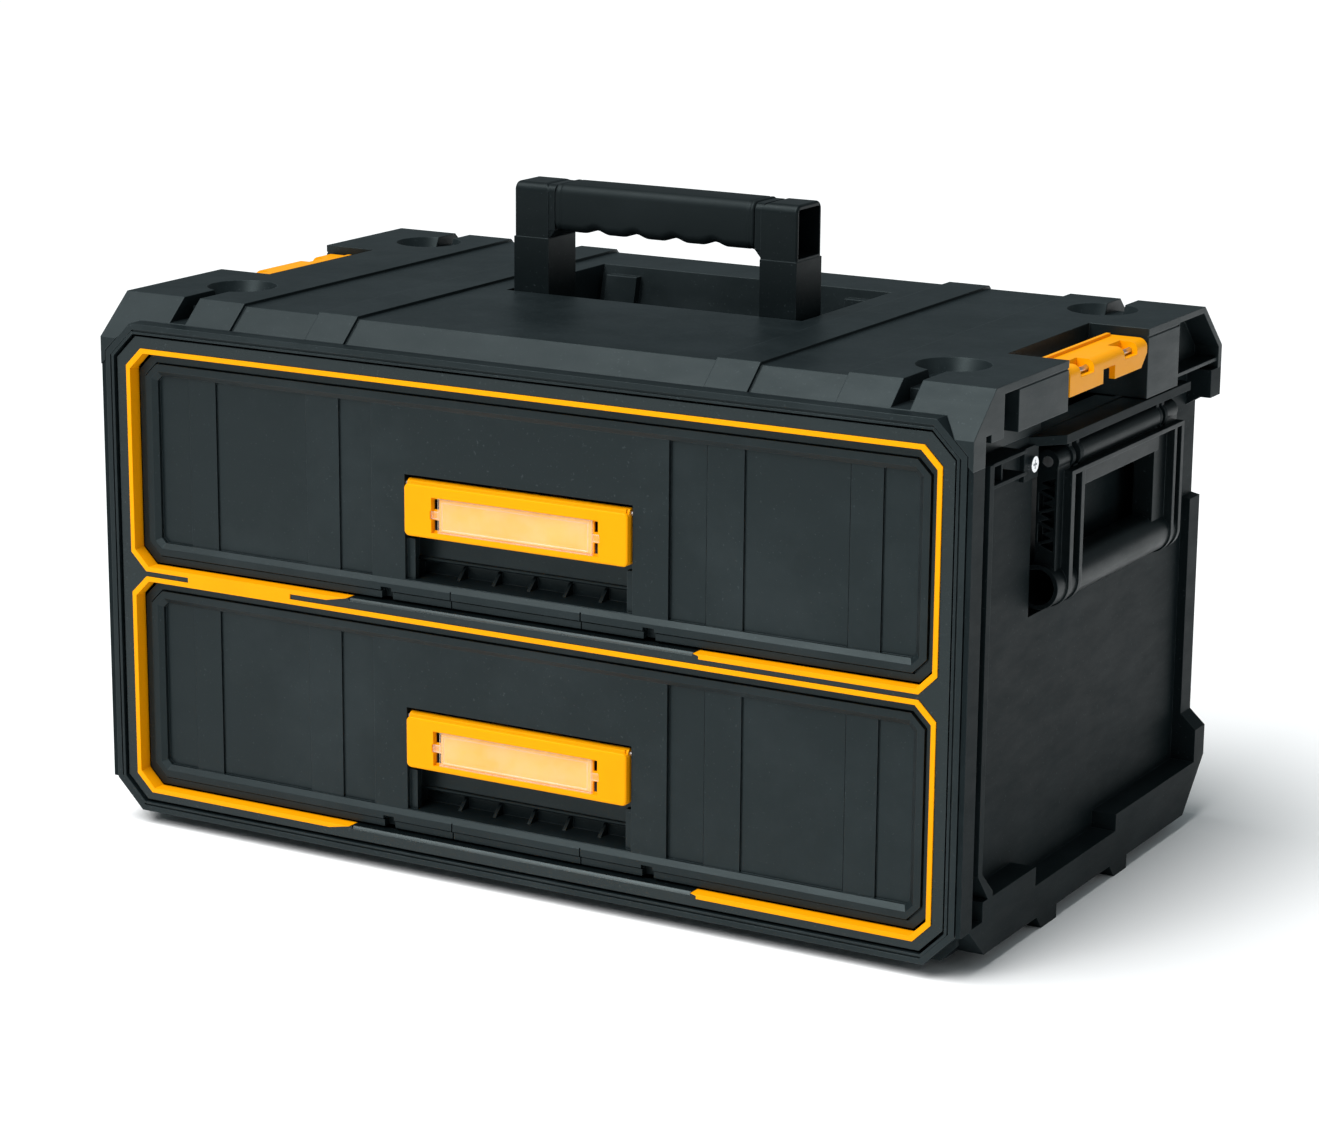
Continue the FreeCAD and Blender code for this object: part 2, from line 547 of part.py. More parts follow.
def tray(level):
    low = OPENINGS[level] + FRONT_ABOVE
    z0 = low + TRAY_UP
    z1 = z0 + TRAY_HEIGHT
    outer = box(-TRAY_HALF, TRAY_HALF, FRONT_BACK, TRAY_BACK, z0, z1)
    outer = outer.fuse(box(-246, 246, FRONT_BACK, FRONT_BACK + TRAY_WALL, low + 1, low + FRONT_HEIGHT - 1))
    room = box(-TRAY_HALF + TRAY_WALL, TRAY_HALF - TRAY_WALL, FRONT_BACK + TRAY_WALL,
               TRAY_BACK - TRAY_WALL, z0 + TRAY_WALL, z1 + 20)
    shell = outer.cut(room)
    guides = []
    for x in divider_places():
        for side in (-1, 1):
            near = x + side * 1.1
            far = x + side * 3.1
            for y0 in (FRONT_BACK + TRAY_WALL, TRAY_BACK - TRAY_WALL - 4):
                guides.append(box(min(near, far), max(near, far), y0, y0 + 4, z0 + 1, z1 - 20))
    shell = fuse([shell] + guides)
    centre = low + SLIDE_UP
    holes = both_sides([rod_x(y, centre, 1.9, 225, 235) for y in (60, 180, 300)])
    holes += [rod_y(x, low + z, 2.1, FRONT_BACK - 1, FRONT_BACK + 3) for x, z in front_screw_places()]
    return shell.cut(fuse(holes))


def divider_places():
    return (-77.0, 77.0)


def dividers(level):
    z0 = OPENINGS[level] + FRONT_ABOVE + TRAY_UP + TRAY_WALL
    plates = []
    for x in divider_places():
        plate = box(x - 1, x + 1, FRONT_BACK + TRAY_WALL + 0.2, TRAY_BACK - TRAY_WALL - 0.2, z0, z0 + 76)
        thumb = rod_x((FRONT_BACK + TRAY_BACK) / 2, z0 + 86, 22, x - 2, x + 2)
        plates.append(plate.cut(thumb))
    return plates


def front_screws(level):
    low = OPENINGS[level] + FRONT_ABOVE
    screws = []
    for x, z in front_screw_places():
        shank = rod_y(x, low + z, 1.6, FRONT_BACK - 4, FRONT_BACK + TRAY_WALL)
        head = rod_y(x, low + z, 2.2, FRONT_BACK + TRAY_WALL, FRONT_BACK + TRAY_WALL + 1.4)
        screws.append(fuse([shank, head]))
    return screws


def inner_screws(level):
    centre = OPENINGS[level] + FRONT_ABOVE + SLIDE_UP
    return both_sides([fuse([rod_x(y, centre, 1.9, 229, 233.2), rod_x(y, centre, 3.4, 233.2, 234.6)])
                       for y in (60, 180, 300)])


# ---------------------------------------------------------------- paddle and bolt
def paddle(level):
    low = OPENINGS[level] + FRONT_ABOVE
    z0 = low + PADDLE[0]
    z1 = low + PADDLE[1]
    face = box(-PADDLE_HALF, PADDLE_HALF, PADDLE_Y, PADDLE_Y + 8.5, z0, z1 - 2)
    face = rounded(face, 3, lambda p: abs(abs(p.x) - PADDLE_HALF) < 0.1 and abs(p.y - PADDLE_Y - 4.25) < 0.1)
    face = rounded(face, 1.2, lambda p: abs(p.y - PADDLE_Y) < 0.1)
    lip = box(-PADDLE_HALF + 2, PADDLE_HALF - 2, PADDLE_Y + 2, PADDLE_Y + 8.5, z1 - 3, z1 - 0.4)
    hollow = box(-PADDLE_HALF + 2.5, PADDLE_HALF - 2.5, PADDLE_Y + 3.6, PADDLE_Y + 9, z0 + 2.5, z1 - 8)
    barrel = rod_x(PIVOT_Y, low + PIVOT_UP, 3.2, -PADDLE_HALF + 0.5, PADDLE_HALF - 0.5)
    arms = both_sides([box(*ARM_X, PIVOT_Y, ARM_BACK, low + PIVOT_UP - 3, low + PIVOT_UP + 2)])
    body = fuse([face, lip]).cut(hollow)
    body = fuse([body, barrel] + arms)
    window = box(-LABEL_HALF, LABEL_HALF, PADDLE_Y - 1, PADDLE_Y + 2.4, low + LABEL[0], low + LABEL[1])
    middle = low + (LABEL[0] + LABEL[1]) / 2
    clips = [box(LABEL_HALF - 1, LABEL_HALF + 0.9, PADDLE_Y - 1, PADDLE_Y + 1.7, middle - 2.4, middle + 2.4)]
    for side in (-1, 1):
        near = middle + side * 3
        far = middle + side * 9
        clips.append(box(COVER_HALF + 0.4, LABEL_HALF - 0.2, PADDLE_Y, PADDLE_Y + 5,
                         min(near, far), max(near, far)))
    clips = both_sides(clips)
    bore = rod_x(PIVOT_Y, low + PIVOT_UP, 1.5 + FIT, -PADDLE_HALF - 1, PADDLE_HALF + 1)
    spring_room = rod_x(PIVOT_Y, low + PIVOT_UP, 2.45, -SPRING_HALF - 0.5, SPRING_HALF + 0.5)
    spring_room = spring_room.fuse(box(-SPRING_HALF - 0.5, SPRING_HALF + 0.5, PIVOT_Y + 0.8, PIVOT_Y + 4,
                                       low + PIVOT_UP - 3.3, z1 + 1))
    return body.cut(fuse([window, bore, spring_room] + clips)).removeSplitter()


def paddle_spring(level):
    """The coil on the pin that closes the paddle, with one leg resting on the recess's back wall."""
    z = OPENINGS[level] + FRONT_ABOVE + PIVOT_UP
    turns = [rod_x(PIVOT_Y, z, 2.35, x, x + 0.75) for x in range(-SPRING_HALF, SPRING_HALF)]
    core = rod_x(PIVOT_Y, z, 2.1, -SPRING_HALF, SPRING_HALF)
    leg = box(SPRING_HALF - 0.9, SPRING_HALF - 0.1, PIVOT_Y + 1.6, RECESS_BACK, z + 1.2, z + 1.9)
    return fuse(turns + [core, leg]).cut(rod_x(PIVOT_Y, z, 1.6, -SPRING_HALF - 1, SPRING_HALF + 1))


def label_card(level):
    low = OPENINGS[level] + FRONT_ABOVE
    return box(-COVER_HALF + 0.6, COVER_HALF - 0.6, PADDLE_Y + 2, PADDLE_Y + 2.4,
               low + LABEL[0] + 0.8, low + LABEL[1] - 0.8)


def label_cover(level):
    """The clear cover: a thin pane in a thicker border, held by a tab at each end."""
    low = OPENINGS[level] + FRONT_ABOVE
    z0 = low + LABEL[0] + 0.2
    z1 = low + LABEL[1] - 0.2
    border = box(-COVER_HALF, COVER_HALF, PADDLE_Y + 0.2, PADDLE_Y + 1.8, z0, z1)
    pane_room = box(-COVER_HALF + 2.6, COVER_HALF - 2.6, PADDLE_Y - 1, PADDLE_Y + 0.9, z0 + 2.2, z1 - 2.2)
    middle = (z0 + z1) / 2
    tab = box(COVER_HALF - 0.2, LABEL_HALF + 0.7, PADDLE_Y + 0.6, PADDLE_Y + 1.6, middle - 2.1, middle + 2.1)
    return fuse([border.cut(pane_room)] + both_sides([tab]))


def paddle_pin(level):
    z = OPENINGS[level] + FRONT_ABOVE + PIVOT_UP
    return rod_x(PIVOT_Y, z, 1.5, -RECESS_HALF - 2.5, RECESS_HALF + 2.5)


def latch_bolt(level):
    """The bolt behind the paddle: a bar up to the front's top edge, drawn down by a crossbar."""
    low = OPENINGS[level] + FRONT_ABOVE
    cross_top = low + PIVOT_UP - 3.35
    tip = low + FRONT_HEIGHT - 0.4
    bar = box(-10, 10, *BOLT_Y, cross_top - 8, tip)
    cross = box(-26, 26, *BOLT_Y, cross_top - 8, cross_top)
    ramp = prism_x([(BOLT_Y[1] + 1, tip - 5), (BOLT_Y[1] + 1, tip + 1), (BOLT_Y[1] - 3, tip + 1)], -11, 11)
    return fuse([bar, cross]).cut(ramp)


# ---------------------------------------------------------------- top handle
def bail():
    """The handle's frame: two legs and the bar between them, hollow at its ends."""
    y0, y1 = GRAB_Y
    ay, az = GRAB_AXIS
    inner = GRAB_HALF - GRAB_LEG
    leg = box(inner, GRAB_HALF, y0, y1, az, GRAB_TOP)
    leg = rounded(leg, 5, lambda p: abs(p.z - GRAB_TOP) < 0.1 and abs(p.x - GRAB_HALF) > 1)
    leg = rounded(leg, 1.5, lambda p: abs(p.x - GRAB_HALF) < 0.1 and p.z < GRAB_TOP - 2)
    boot = box(inner - BOOT_STEP, GRAB_HALF + BOOT_STEP, y0 - BOOT_STEP, y1 + BOOT_STEP, az, BOOT_TOP)
    boot = rounded(boot, 0.15, lambda p: abs(p.z - BOOT_TOP) < 0.1)
    knuckle = rod_x(ay, az, (y1 - y0) / 2, inner - BOOT_STEP, GRAB_HALF + BOOT_STEP)
    window = box(GRAB_HALF - 18, GRAB_HALF + 1, y0 + 2.2, y1 - 2.2, GRAB_TOP - 30.5, GRAB_TOP - 2.8)
    legs = both_sides([fuse([leg, boot, knuckle]).cut(window)])
    bar = box(-inner - 1, inner + 1, y0 + 3, y1 - 3, GRAB_TOP - GRAB_BAR + 3, GRAB_TOP - 3)
    neck = box(inner - 4, inner + 1, y0 + 0.5, y1 - 0.5, GRAB_TOP - GRAB_BAR, GRAB_TOP - 0.5)
    neck = rounded(neck, 4.5, lambda p: abs(p.z - GRAB_TOP + 0.5) < 0.1 and abs(p.x - inner + 1.5) < 0.1)
    gusset = prism_y([(inner - 4, GRAB_TOP - GRAB_BAR), (inner + 1, GRAB_TOP - GRAB_BAR - 6),
                      (inner + 1, GRAB_TOP - GRAB_BAR + 1), (inner - 4, GRAB_TOP - GRAB_BAR + 1)],
                     y0 + 1, y1 - 1)
    corner = both_sides([neck.fuse(gusset)])
    bores = both_sides([rod_x(ay, az, 4 + FIT, inner - 3, GRAB_HALF + 3)])
    return fuse(legs + [bar] + corner).cut(fuse(bores))


def grip():
    """The soft sleeve on the bar, with finger grooves underneath."""
    y0, y1 = GRAB_Y
    half = GRAB_HALF - GRAB_LEG - 4.6
    z0 = GRAB_TOP - GRAB_BAR - 0.5
    sleeve = box(-half, half, y0 - 0.4, y1 + 0.4, z0, GRAB_TOP + 0.4)
    sleeve = rounded(sleeve, 6, lambda p: abs(p.x) < 1)
    core = box(-half - 1, half + 1, y0 + 3, y1 - 3, GRAB_TOP - GRAB_BAR + 3, GRAB_TOP - 3)
    grooves = []
    for place in (-39, -13, 13, 39):
        grooves.append(Part.makeCylinder(22, y1 - y0 + 4, FreeCAD.Vector(place, y0 - 2, z0 - 20.2),
                                         FreeCAD.Vector(0, 1, 0)))
    rings = [box(x - 0.5, x + 0.5, y0 - 1, y1 + 1, z0 - 1, GRAB_TOP + 1) for x in (-half + 3, half - 3)]
    trench = fuse(rings).cut(box(-half - 1, half + 1, y0 + 0.6, y1 - 0.6, z0 + 1, GRAB_TOP - 0.6))
    return sleeve.cut(core).cut(fuse(grooves)).cut(trench)


# ---------------------------------------------------------------- side handle
def truss():
    """Triangular pockets in the front arm, which leave a zigzag of thin ribs."""
    low, high, count = 198.0, 241.0, 5
    pitch = (high - low) / count
    x0, x1 = CARRY_X[0] + 1.4, CARRY_X[1] - 1.4
    y0 = CARRY_Y[0] - 1
    cuts = []
    for index in range(count):
        z = low + index * pitch
        near, far = (x0, x1) if index % 2 else (x1, x0)
        tip = far - (far - near) * 0.12
        cuts.append(prism_y([(near, z + 1.2), (near, z + pitch - 1.2), (tip, z + pitch / 2)], y0, y0 + 7))
        if index < count - 1:
            tip = near + (far - near) * 0.12
            pocket = [(far, z + pitch / 2 + 1.2), (far, z + pitch * 1.5 - 1.2), (tip, z + pitch)]
            cuts.append(prism_y(pocket, y0, y0 + 7))
    return cuts


def carry_rim(y0, y1):
    """One thin rim of an arm: it runs down the outside and hooks under the grip."""
    x, z, radius = CARRY_GRIP
    upright = box(CARRY_X[0], CARRY_RIM_X, y0, y1, z, CARRY_BEAM[1])
    hook = rod_y(x, z, CARRY_RIM_X - x, y0, y1).common(box(x - radius, CARRY_RIM_X, y0, y1, 0, z))
    return upright.fuse(hook)


def side_handle():
    """A bail of two ribbed arms, a flat beam, a barrel on the rod and a hollow round grip."""
    x0, x1 = CARRY_X
    ax, az = CARRY_AXIS
    gx, gz, radius = CARRY_GRIP
    inner0, inner1 = CARRY_OPEN
    y0, y1 = CARRY_Y
    arms = [box(x0, x1, y0, inner0, gz, az - 5), box(x0, x1, inner1, y1, gz, az - 5)]
    beam = box(x0, CARRY_RIM_X - 3, inner0 - 1, inner1 + 1, *CARRY_BEAM)
    lip = box(x0, CARRY_RIM_X, CARRY_RIMS[0][0], y1, CARRY_BEAM[1] - 2.4, CARRY_BEAM[1])
    rims = [carry_rim(*rim) for rim in CARRY_RIMS]
    knuckles = []
    for k0, k1 in ((y0, CARRY_LUGS[0][0] - 0.4), (CARRY_LUGS[3][1] + 0.4, y1)):
        knuckles.append(rod_y(ax, az, 6.5, k0, k1))
        knuckles.append(box(ax - 6, ax + 6, k0, k1, az - 8, az))
    barrel = rod_y(ax, az, LUG_RADIUS, CARRY_LUGS[1][1] + 0.4, CARRY_LUGS[2][0] - 0.4)
    tube = rod_y(gx, gz, radius, y0 - 4, y1 - 1)
    body = fuse(arms + [beam, lip, barrel, tube] + rims + knuckles)
    bore = rod_y(gx, gz, radius - 2.4, y0 - 5, y1 - 22)
    scallops = [rod_x(y, gz - radius - 14.4, 16, gx - 20, gx + 20) for y in range(168, 256, 21)]
    hinge = rod_y(ax, az, 3 + FIT, y0 - 1, y1 + 1)
    lug_rooms = [rod_y(ax, az, LUG_RADIUS + 0.7, lug[0] - 0.4, lug[1] + 0.4) for lug in CARRY_LUGS]
    return body.cut(fuse([bore, hinge] + lug_rooms + scallops + truss())).removeSplitter()


# ---------------------------------------------------------------- stack latch
def stack_latch():
    ax, az = LATCH_AXIS
    y0, y1 = LATCH_Y
    plate = box(ax - 11, ax + 7, y0, y1, az + 5.5, az + 9)
    ridge = box(ax - 11, ax - 8.5, y0 + 4, y1 - 4, az + 8.5, az + 10.6)
    shoulder = rod_y(ax + 7, az + 4, 5, y0, y1)
    rod_room = rod_y(ax + 7, az + 4, 1.6 + FIT, y0 + 3, y1 - 3)
    apron = box(ax + 8.6, ax + 12, y0, y1, az - 6.5, az + 4)
    barrel = rod_y(ax, az, 4.2, y0, y1)
    web = box(ax - 3, ax + 3, y0, y1, az, az + 6)
    body = fuse([plate, ridge, shoulder, apron, barrel, web])
    middle = (y0 + y1) / 2
    notch = box(ax + 4, ax + 14, middle - 8, middle + 8, az - 8, az + 1.5)
    windows = [box(ax - 4, ax + 14, middle + side * 30 - 9, middle + side * 30 + 9, az + 2.2, az + 20)
               .common(box(ax + 1.5, ax + 14, y0, y1, az, az + 20)) for side in (-1, 1)]
    bore = rod_y(ax, az, 2 + FIT, y0 - 1, y1 + 1)
    corner = [prism_x([(y1 - 9, az - 8), (y1 + 1, az - 8), (y1 + 1, az + 2)], ax + 6, ax + 14)]
    return body.cut(fuse([notch, bore, rod_room] + windows + corner)).removeSplitter()


# ---------------------------------------------------------------- build
def build_cabinet():
    save("housing", housing())
    save("top_deck", top_deck())
    save("front_collar", front_collar())
    save("front_bezel", front_bezel())
    save("front_trim", front_trim())
    save("mid_rail", mid_rail())
    save("bolt_strikes", *strikes())
    y, z = GRAB_AXIS
    save("top_handle_pins", *both_sides([rod_x(y, z, 4, GRAB_HALF - GRAB_LEG + 2, POCKET_HALF + 5)]))
    x, z = CARRY_AXIS
    save("side_handle_rods", *both_sides([rod_y(x, z, 3, CARRY_Y[0] + 0.4, CARRY_Y[1] - 0.4)]))
    x, z = LATCH_AXIS
    save("stack_latch_pins", *both_sides([rod_y(x, z, 2, NOTCH_Y[0] - 5, NOTCH_Y[1] + 5)]))
    screw = fuse([rod_x(99, 251.5, 2.4, 252, PANEL + 3), rod_x(99, 251.5, 4.4, PANEL + 3, PANEL + 5.4)])
    cross = [box(PANEL + 4.4, PANEL + 6, 99 - a, 99 + a, 251.5 - b, 251.5 + b)
             for a, b in ((2.4, 0.5), (0.5, 2.4))]
    save("side_screws", *both_sides([screw.cut(fuse(cross))]))


def build_slides():
    for level, centre in zip(("upper", "lower"), slide_centres()):
        save(level + "_outer_rails", *both_sides([outer_rail(centre)]))
        save(level + "_inner_rails", *both_sides([inner_rail(centre)]))
        save(level + "_ball_cages", *both_sides(ball_cage(centre)))
        screws = []
        for y in (46, 166, 296):
            shank = rod_x(y, centre, 2, SLIDE_OUT - 1.2, 256)
            screws.append(fuse([shank, rod_x(y, centre, 3.6, 243.4, SLIDE_OUT - 1.2)]))
        save(level + "_rail_screws", *both_sides(screws))


def build_drawers():
    for level in OPENINGS:
        save(level + "_drawer_front", drawer_front(level))
        save(level + "_drawer_tray", tray(level))
        save(level + "_dividers", *dividers(level))
        save(level + "_front_screws", *front_screws(level))
        save(level + "_slide_screws", *inner_screws(level))
        save(level + "_paddle_pin", paddle_pin(level))
        save(level + "_paddle_spring", paddle_spring(level))
        save(level + "_paddle", paddle(level))
        save(level + "_label_card", label_card(level))
        save(level + "_label_cover", label_cover(level))
        save(level + "_latch_bolt", latch_bolt(level))


def build_handles():
    save("top_handle_frame", bail())
    save("top_handle_grip", grip())
    save("right_side_handle", side_handle())
    save("left_side_handle", mirrored(side_handle()))
    save("right_stack_latch", stack_latch())
    save("left_stack_latch", mirrored(stack_latch()))
    x, z = LATCH_AXIS
    rod = rod_y(x + 7, z + 4, 1.6, LATCH_Y[0] + 3.2, LATCH_Y[1] - 3.2)
    save("right_latch_rod", rod)
    save("left_latch_rod", mirrored(rod))


os.makedirs("parts", exist_ok=True)
build_cabinet()
build_slides()
build_drawers()
build_handles()
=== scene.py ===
"""Looks for the stacking two-drawer tool box: materials, a few finer pieces, floor, light and camera."""
import math

import bmesh
import bpy
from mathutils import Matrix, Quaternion, Vector


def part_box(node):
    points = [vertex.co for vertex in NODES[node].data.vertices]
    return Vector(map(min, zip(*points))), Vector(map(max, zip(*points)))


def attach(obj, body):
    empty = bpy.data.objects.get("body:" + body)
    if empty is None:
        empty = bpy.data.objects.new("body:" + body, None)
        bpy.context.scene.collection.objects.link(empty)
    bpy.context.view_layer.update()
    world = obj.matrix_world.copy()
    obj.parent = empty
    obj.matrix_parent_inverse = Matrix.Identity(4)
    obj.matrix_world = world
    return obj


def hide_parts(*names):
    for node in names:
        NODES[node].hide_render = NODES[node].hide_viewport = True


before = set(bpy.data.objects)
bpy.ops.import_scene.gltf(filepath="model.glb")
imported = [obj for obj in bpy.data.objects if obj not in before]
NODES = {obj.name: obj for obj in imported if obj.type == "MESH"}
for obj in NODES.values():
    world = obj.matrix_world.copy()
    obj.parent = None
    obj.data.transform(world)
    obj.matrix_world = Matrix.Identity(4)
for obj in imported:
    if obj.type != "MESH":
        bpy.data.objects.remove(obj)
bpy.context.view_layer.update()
MM = 0.001

# ---------------------------------------------------------------- colours, linear
CHARCOAL = (0.0052, 0.0086, 0.0099)
CHARCOAL_PALE = (0.0125, 0.0175, 0.0195)
RUBBER = (0.0070, 0.0098, 0.0108)
BLACK = (0.0032, 0.0052, 0.0060)
YELLOW = (0.95, 0.365, 0.0005)
YELLOW_DEEP = (0.92, 0.330, 0.0005)
CARD = (0.93, 0.44, 0.035)
CARD_PALE = (0.96, 0.49, 0.06)
STEEL = (0.56, 0.57, 0.58)
STEEL_DULL = (0.44, 0.45, 0.46)
CHROME = (0.82, 0.83, 0.85)
CHROME_DULL = (0.66, 0.67, 0.7)
NYLON = (0.16, 0.165, 0.17)
NYLON_PALE = (0.20, 0.20, 0.205)
COVER = (0.93, 0.86, 0.74)
WEAR_AND_EDGE_HIGHLIGHT = (0.052, 0.066, 0.071)         # rubbed edges with a painted edge highlight, and specks, on the black plastic
FLOOR = (0.96, 0.96, 0.96)
FLOOR_PALE = tuple(channel * 1.02 for channel in FLOOR)
WHITE = (1, 1, 1)

# Tint of a plastic's reflections
SHEEN = (0.80, 0.98, 1.0)            # cool, on the black plastic
SHEEN_YELLOW = (1, 0.8, 0.35)

# ---------------------------------------------------------------- textures
# Each noise is (scale, detail, roughness), and each span is the part of its values that counts.
# A stretch multiplies x, y and z before the noise, so its marks run long where it is small.
MOTTLE = (11, 5, 0.68)               # slow change of tone in moulded plastic
MOTTLE_SPAN = (0.48, 0.74)
MOTTLE_GLOSS = (-0.02, 0.03)
SCUFF = (26, 6, 0.72)                # handling marks, drawn out sideways
SCUFF_STRETCH = (1, 1, 3.5)
SCUFF_SPAN = (0.35, 0.7)
SCUFF_GLOSS = (-0.045, 0.055)        # either side of the plastic's own roughness
RUB_AND_HIGHLIGHT_SPAN = (0.42, 0.66)              # of the scuff noise, along an edge
RUB_AND_HIGHLIGHT_STRENGTH = (0.15, 0.8)
SPECK = (650, 2, 0.5)
SPECK_SPAN = (0.67, 0.75)
SPECK_STRENGTH = 0.4
PEBBLE_DETAIL = (2, 0.6)             # the grain's scale is each plastic's own
SPOT = (120, 5, 0.7)                 # dull spots in plating
SPOT_SPAN = (0.5, 0.75)
BRUSHING = (900, 3, 0.6)
BRUSHING_SPAN = (0.3, 0.7)
BRUSHING_GLOSS = (-0.06, 0.10)
BRUSHING_DEPTH = 0.00003
BRUSHING_STRENGTH = 0.15
METAL_EDGE = 0.0003
TONE = (30, 3, 0.5)                  # slow change of tone in the card
TONE_SPAN = (0.35, 0.65)
FIBRE = (2600, 4, 0.7)
FIBRE_STRETCH = (0.3, 1, 1)
FIBRE_SPAN = (0.3, 0.7)
FIBRE_GLOSS = (0.62, 0.8)
FIBRE_DEPTH = 0.00003
FIBRE_STRENGTH = 0.25
HAZE = (60, 5, 0.7)                  # in the clear cover
HAZE_SPAN = (0.35, 0.7)
HAZE_ALPHA = (0.05, 0.12)
HAZE_GLOSS = (0.08, 0.2)
HAZE_DEPTH = 0.0001
HAZE_STRENGTH = 0.1
COVER_EDGE = 0.0009
COVER_EDGE_ALPHA = 0.5
FLOOR_CLOUD = (1.5, 2, 0.5)
FLOOR_CLOUD_SPAN = (0.3, 0.7)

# How far the softened normal leans from the flat one, as their dot product
# the edge band that gets the wear colour, as rubbing and as a painted highlight
RUB_AND_HIGHLIGHT_LEAN = (0.86, 0.995)
MILKY_LEAN = (0.80, 0.995)
BEVEL_SAMPLES = 6

# Sockets of the colour mix node
MIX_FIRST = 6
MIX_SECOND = 7
MIX_RESULT = 2

# ---------------------------------------------------------------- camera
CAMERA_PLACE = (1.0182, -1.7810, 0.6657)
CAMERA_AZIMUTH = 29.80
CAMERA_ELEVATION = 14.10
CAMERA_ROLL = 0.43
FOCAL_SHARE = 2.72464                # focal length over the picture's width
SENSOR = 36.0

# ---------------------------------------------------------------- light and floor
FILL = 0.20                          # what the surroundings give the object
FILL_COLOUR = (0.80, 0.95, 1.0)
BACKDROP = 1.0                       # how bright they look behind it
LIT_POINT = (0, 0, 0.2)              # about the middle of the box
SKY_POWER = 3.2
SKY_SPREAD = 45                      # degrees that the sun disc covers, for soft shadows
SKY_AIM = (0.25, 0.35, -1)
FLOOR_HALF = 30
FLOOR_ROUGHNESS = 0.9
FLOOR_SPECULAR = 0.1

# ---------------------------------------------------------------- top handle's grip
GRIP_STATIONS = 132
GRIP_CORNER = 8                      # points round each corner of the section
GRIP_ROUND = 5.5 * MM
GRIP_CROWN = 0.15 * MM               # how much the sleeve thins towards its ends
GRIP_WALL = 3.4 * MM                 # sleeve over the handle's bar
GRIP_BORE_ROUND = 0.8 * MM
GRIP_LIP = 0.8 * MM                  # length of the chamfer at each end
GRIP_LIP_SLOPE = 0.6
GROOVE_PITCH = 26 * MM
GROOVE_PLACES = (-1.5, -0.5, 0.5, 1.5)
GROOVE_HALF = 8.6 * MM
GROOVE_DEPTH = 2.2 * MM
PARTING = 3.2 * MM                   # from the sleeve's end to the groove moulded round it
PARTING_HALF = 0.6 * MM
PARTING_DEPTH = 0.5 * MM

# ---------------------------------------------------------------- paddle springs
COIL_TURNS = 11
COIL_STEPS = 20                      # points along each turn
COIL_START = 50                      # degrees
COIL_CLEARANCE = 0.15 * MM           # between the pin and the wire
LEG_SHARES = (0.15, 0.4, 0.7, 1)     # points along the leg, from the coil to the wall
WIRE = 0.33 * MM
WIRE_SIDES = 10


# ---------------------------------------------------------------- node helpers
class Graph:
    """A material's node tree, with short calls for the nodes that the finishes share."""

    def __init__(self, name):
        self.material = bpy.data.materials.new(name)
        self.material.use_nodes = True
        self.tree = self.material.node_tree
        self.shader = self.tree.nodes["Principled BSDF"]
        self.place = self.add("ShaderNodeTexCoord").outputs["Object"]

    def add(self, kind, **settings):
        node = self.tree.nodes.new(kind)
        for key, value in settings.items():
            setattr(node, key, value)
        return node

    def link(self, source, target):
        self.tree.links.new(source, target)

    def noise(self, scale, detail, roughness, stretch=None):
        node = self.add("ShaderNodeTexNoise")
        node.inputs["Scale"].default_value = scale
        node.inputs["Detail"].default_value = detail
        node.inputs["Roughness"].default_value = roughness
        if stretch:
            mapping = self.add("ShaderNodeMapping")
            mapping.inputs["Scale"].default_value = stretch
            self.link(self.place, mapping.inputs["Vector"])
            self.link(mapping.outputs["Vector"], node.inputs["Vector"])
        else:
            self.link(self.place, node.inputs["Vector"])
        return node.outputs["Fac"]

    def spread(self, value, low, high, to_low, to_high):
        """Maps low to high onto to_low to to_high, and holds the ends."""
        node = self.add("ShaderNodeMapRange")
        for key, number in zip(("From Min", "From Max", "To Min", "To Max"), (low, high, to_low, to_high)):
            node.inputs[key].default_value = number
        self.link(value, node.inputs["Value"])
        return node.outputs["Result"]

    def mix(self, share, first, second):
        """Mixes two colours, each a tuple or another node's output."""
        node = self.add("ShaderNodeMix", data_type="RGBA")
        self.link(share, node.inputs["Factor"])
        for socket, colour in ((node.inputs[MIX_FIRST], first), (node.inputs[MIX_SECOND], second)):
            if isinstance(colour, tuple):
                socket.default_value = (*colour, 1)
            else:
                self.link(colour, socket)
        return node.outputs[MIX_RESULT]

    def combine(self, operation, first, second):
        """Adds or multiplies two nodes' outputs."""
        node = self.add("ShaderNodeMath", operation=operation)
        self.link(first, node.inputs[0])
        self.link(second, node.inputs[1])
        return node.outputs["Value"]

    def soft_edges(self, radius):
        node = self.add("ShaderNodeBevel", samples=BEVEL_SAMPLES)
        node.inputs["Radius"].default_value = radius
        return node.outputs["Normal"]

    def bump(self, height, strength, distance, normal=None):
        node = self.add("ShaderNodeBump")
        node.inputs["Strength"].default_value = strength
        node.inputs["Distance"].default_value = distance
        self.link(height, node.inputs["Height"])
        if normal is not None:
            self.link(normal, node.inputs["Normal"])
        return node.outputs["Normal"]

    def edge_share(self, edges, low, high):
        """0 on a flat face, rising to 1 on an edge, from how far the softened normal leans."""
        flat = self.add("ShaderNodeNewGeometry").outputs["Normal"]
        dot = self.add("ShaderNodeVectorMath", operation="DOT_PRODUCT")
        self.link(edges, dot.inputs[0])
        self.link(flat, dot.inputs[1])
        return self.spread(dot.outputs["Value"], high, low, 0, 1)


